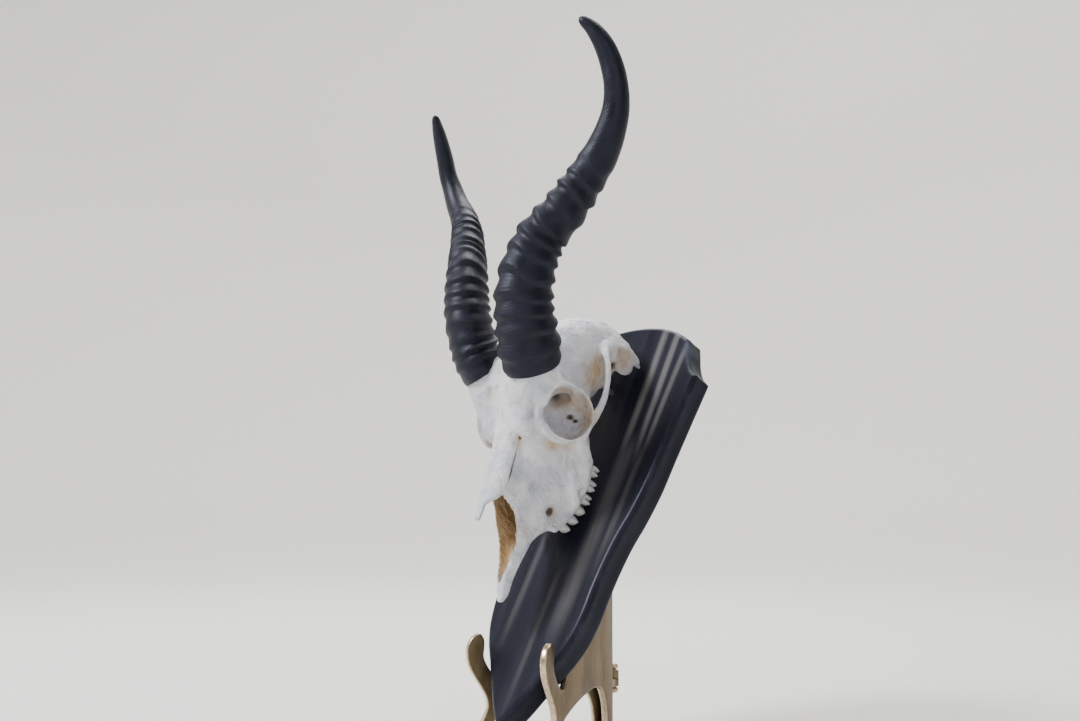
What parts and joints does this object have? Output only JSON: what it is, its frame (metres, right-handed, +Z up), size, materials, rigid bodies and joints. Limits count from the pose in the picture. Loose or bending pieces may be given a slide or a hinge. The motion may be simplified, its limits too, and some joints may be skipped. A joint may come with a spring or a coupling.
{
  "type": "springbok skull trophy",
  "caption": "Bleached springbok skull with black ringed horns, screwed to a dark shield board that leans in a low folding brass easel.",
  "frame": {"origin": "middle of the trophy's footprint box, on the surface the easel stands on", "axes": "+Z up, -Y the way the skull faces, +X the skull's own left"},
  "size_m": [0.2003, 0.1777, 0.4969],
  "materials": {
    "bone": "bleached matt bone",
    "enamel": "greyish worn enamel",
    "keratin": "satin near-black horn",
    "stained_wood": "black-stained, satin varnish",
    "steel": "plain zinc-plated steel",
    "brass": "antique cast brass with worn bright edges"
  },
  "bodies": {
    "root": {"skull": "bone", "left_premolar_1": "enamel", "left_premolar_2": "enamel", "left_premolar_3": "enamel", "left_molar_1": "enamel", "left_molar_2": "enamel", "left_molar_3": "enamel", "right_premolar_1": "enamel", "right_premolar_2": "enamel", "right_premolar_3": "enamel", "right_molar_1": "enamel", "right_molar_2": "enamel", "right_molar_3": "enamel", "horn_left": "keratin", "horn_right": "keratin", "board": "stained_wood", "skull_screw": "steel", "easel_plate_left": "brass", "easel_plate_right": "brass", "hinge_pin_low": "brass", "hinge_pin_high": "brass"}
  },
  "joints": []
}
